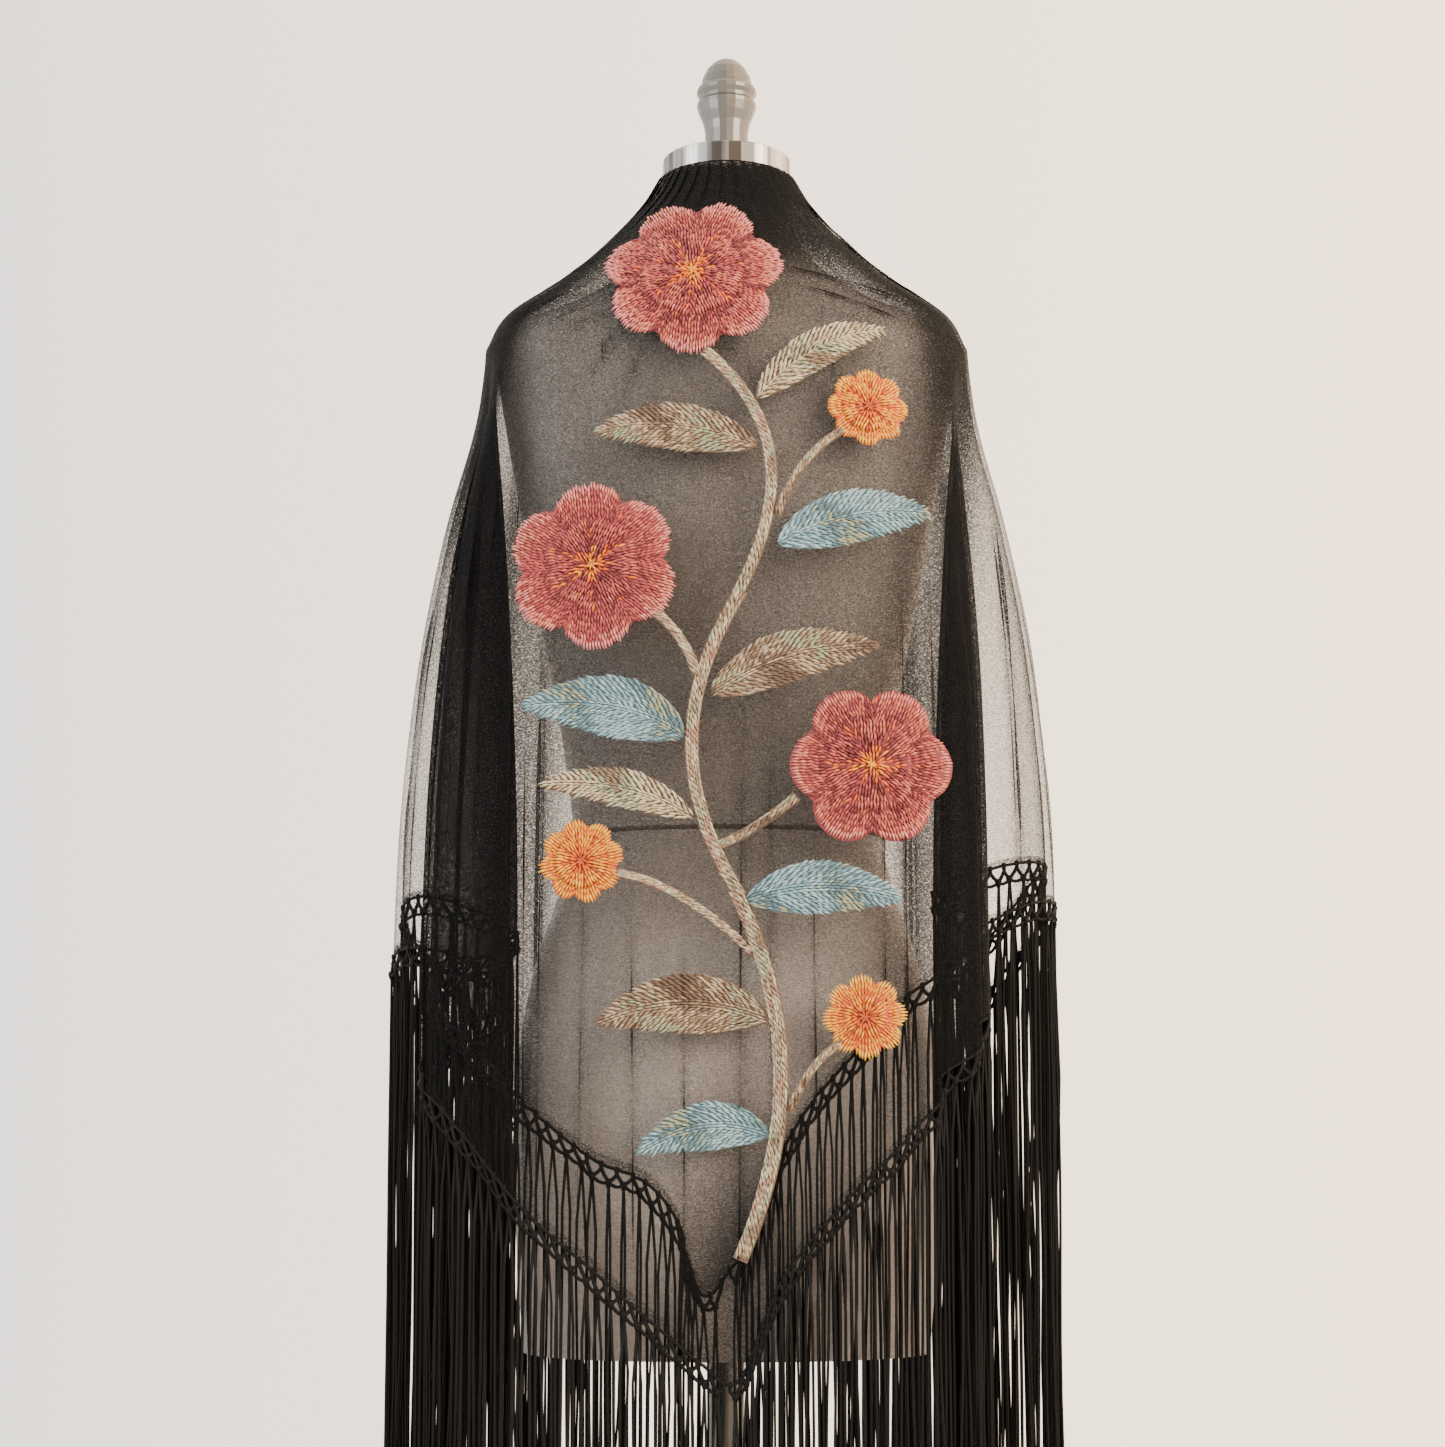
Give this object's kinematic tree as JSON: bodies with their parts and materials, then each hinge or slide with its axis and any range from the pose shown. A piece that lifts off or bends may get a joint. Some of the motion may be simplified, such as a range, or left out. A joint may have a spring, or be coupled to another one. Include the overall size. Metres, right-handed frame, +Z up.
{
  "type": "fringed shawl on dress form",
  "caption": "Sheer square shawl folded to a triangle, long knotted fringe and raised floral embroidery, worn over the back of a limbless dress form on a round stand.",
  "frame": {"origin": "centre of the stand base's underside", "axes": "+Z up; the form faces +Y, so the shawl's embroidered back faces -Y; +X is the viewer's right when looking at the back"},
  "size_m": [0.4766, 0.38, 1.6235],
  "materials": {
    "linen": "plain woven linen cover",
    "steel": "brushed",
    "satin": "satin grey",
    "iron": "black paint",
    "mesh": "sheer black mesh",
    "fringe": "black rayon yarn",
    "coral": "variegated thick yarn",
    "rose": "variegated thick yarn",
    "gold": "variegated thick yarn",
    "blue": "variegated thick yarn",
    "cream": "variegated thick yarn",
    "taupe": "variegated thick yarn",
    "stem": "variegated thick yarn"
  },
  "bodies": {
    "root": {"form_body": "linen", "neck_cap": "steel", "finial": "satin", "stand_pole": "steel", "stand_base": "iron", "mesh_outer_leaf": "mesh", "mesh_inner_leaf": "mesh", "fringe_outer_left": "fringe", "fringe_outer_right": "fringe", "fringe_inner_left": "fringe", "fringe_inner_right": "fringe", "blossom_nape": "coral", "blossom_left": "rose", "blossom_right": "coral", "bud_right_upper": "gold", "bud_left_lower": "gold", "bud_right_lower": "gold", "leaf_1": "blue", "leaf_2": "taupe", "leaf_3": "cream", "leaf_4": "blue", "leaf_5": "taupe", "leaf_6": "cream", "leaf_7": "blue", "leaf_8": "taupe", "leaf_9": "blue", "stem_lower": "stem", "stem_middle": "stem", "stem_upper": "stem", "branch_1": "stem", "branch_2": "taupe", "branch_3": "taupe", "branch_4": "stem", "branch_5": "taupe"}
  },
  "joints": []
}
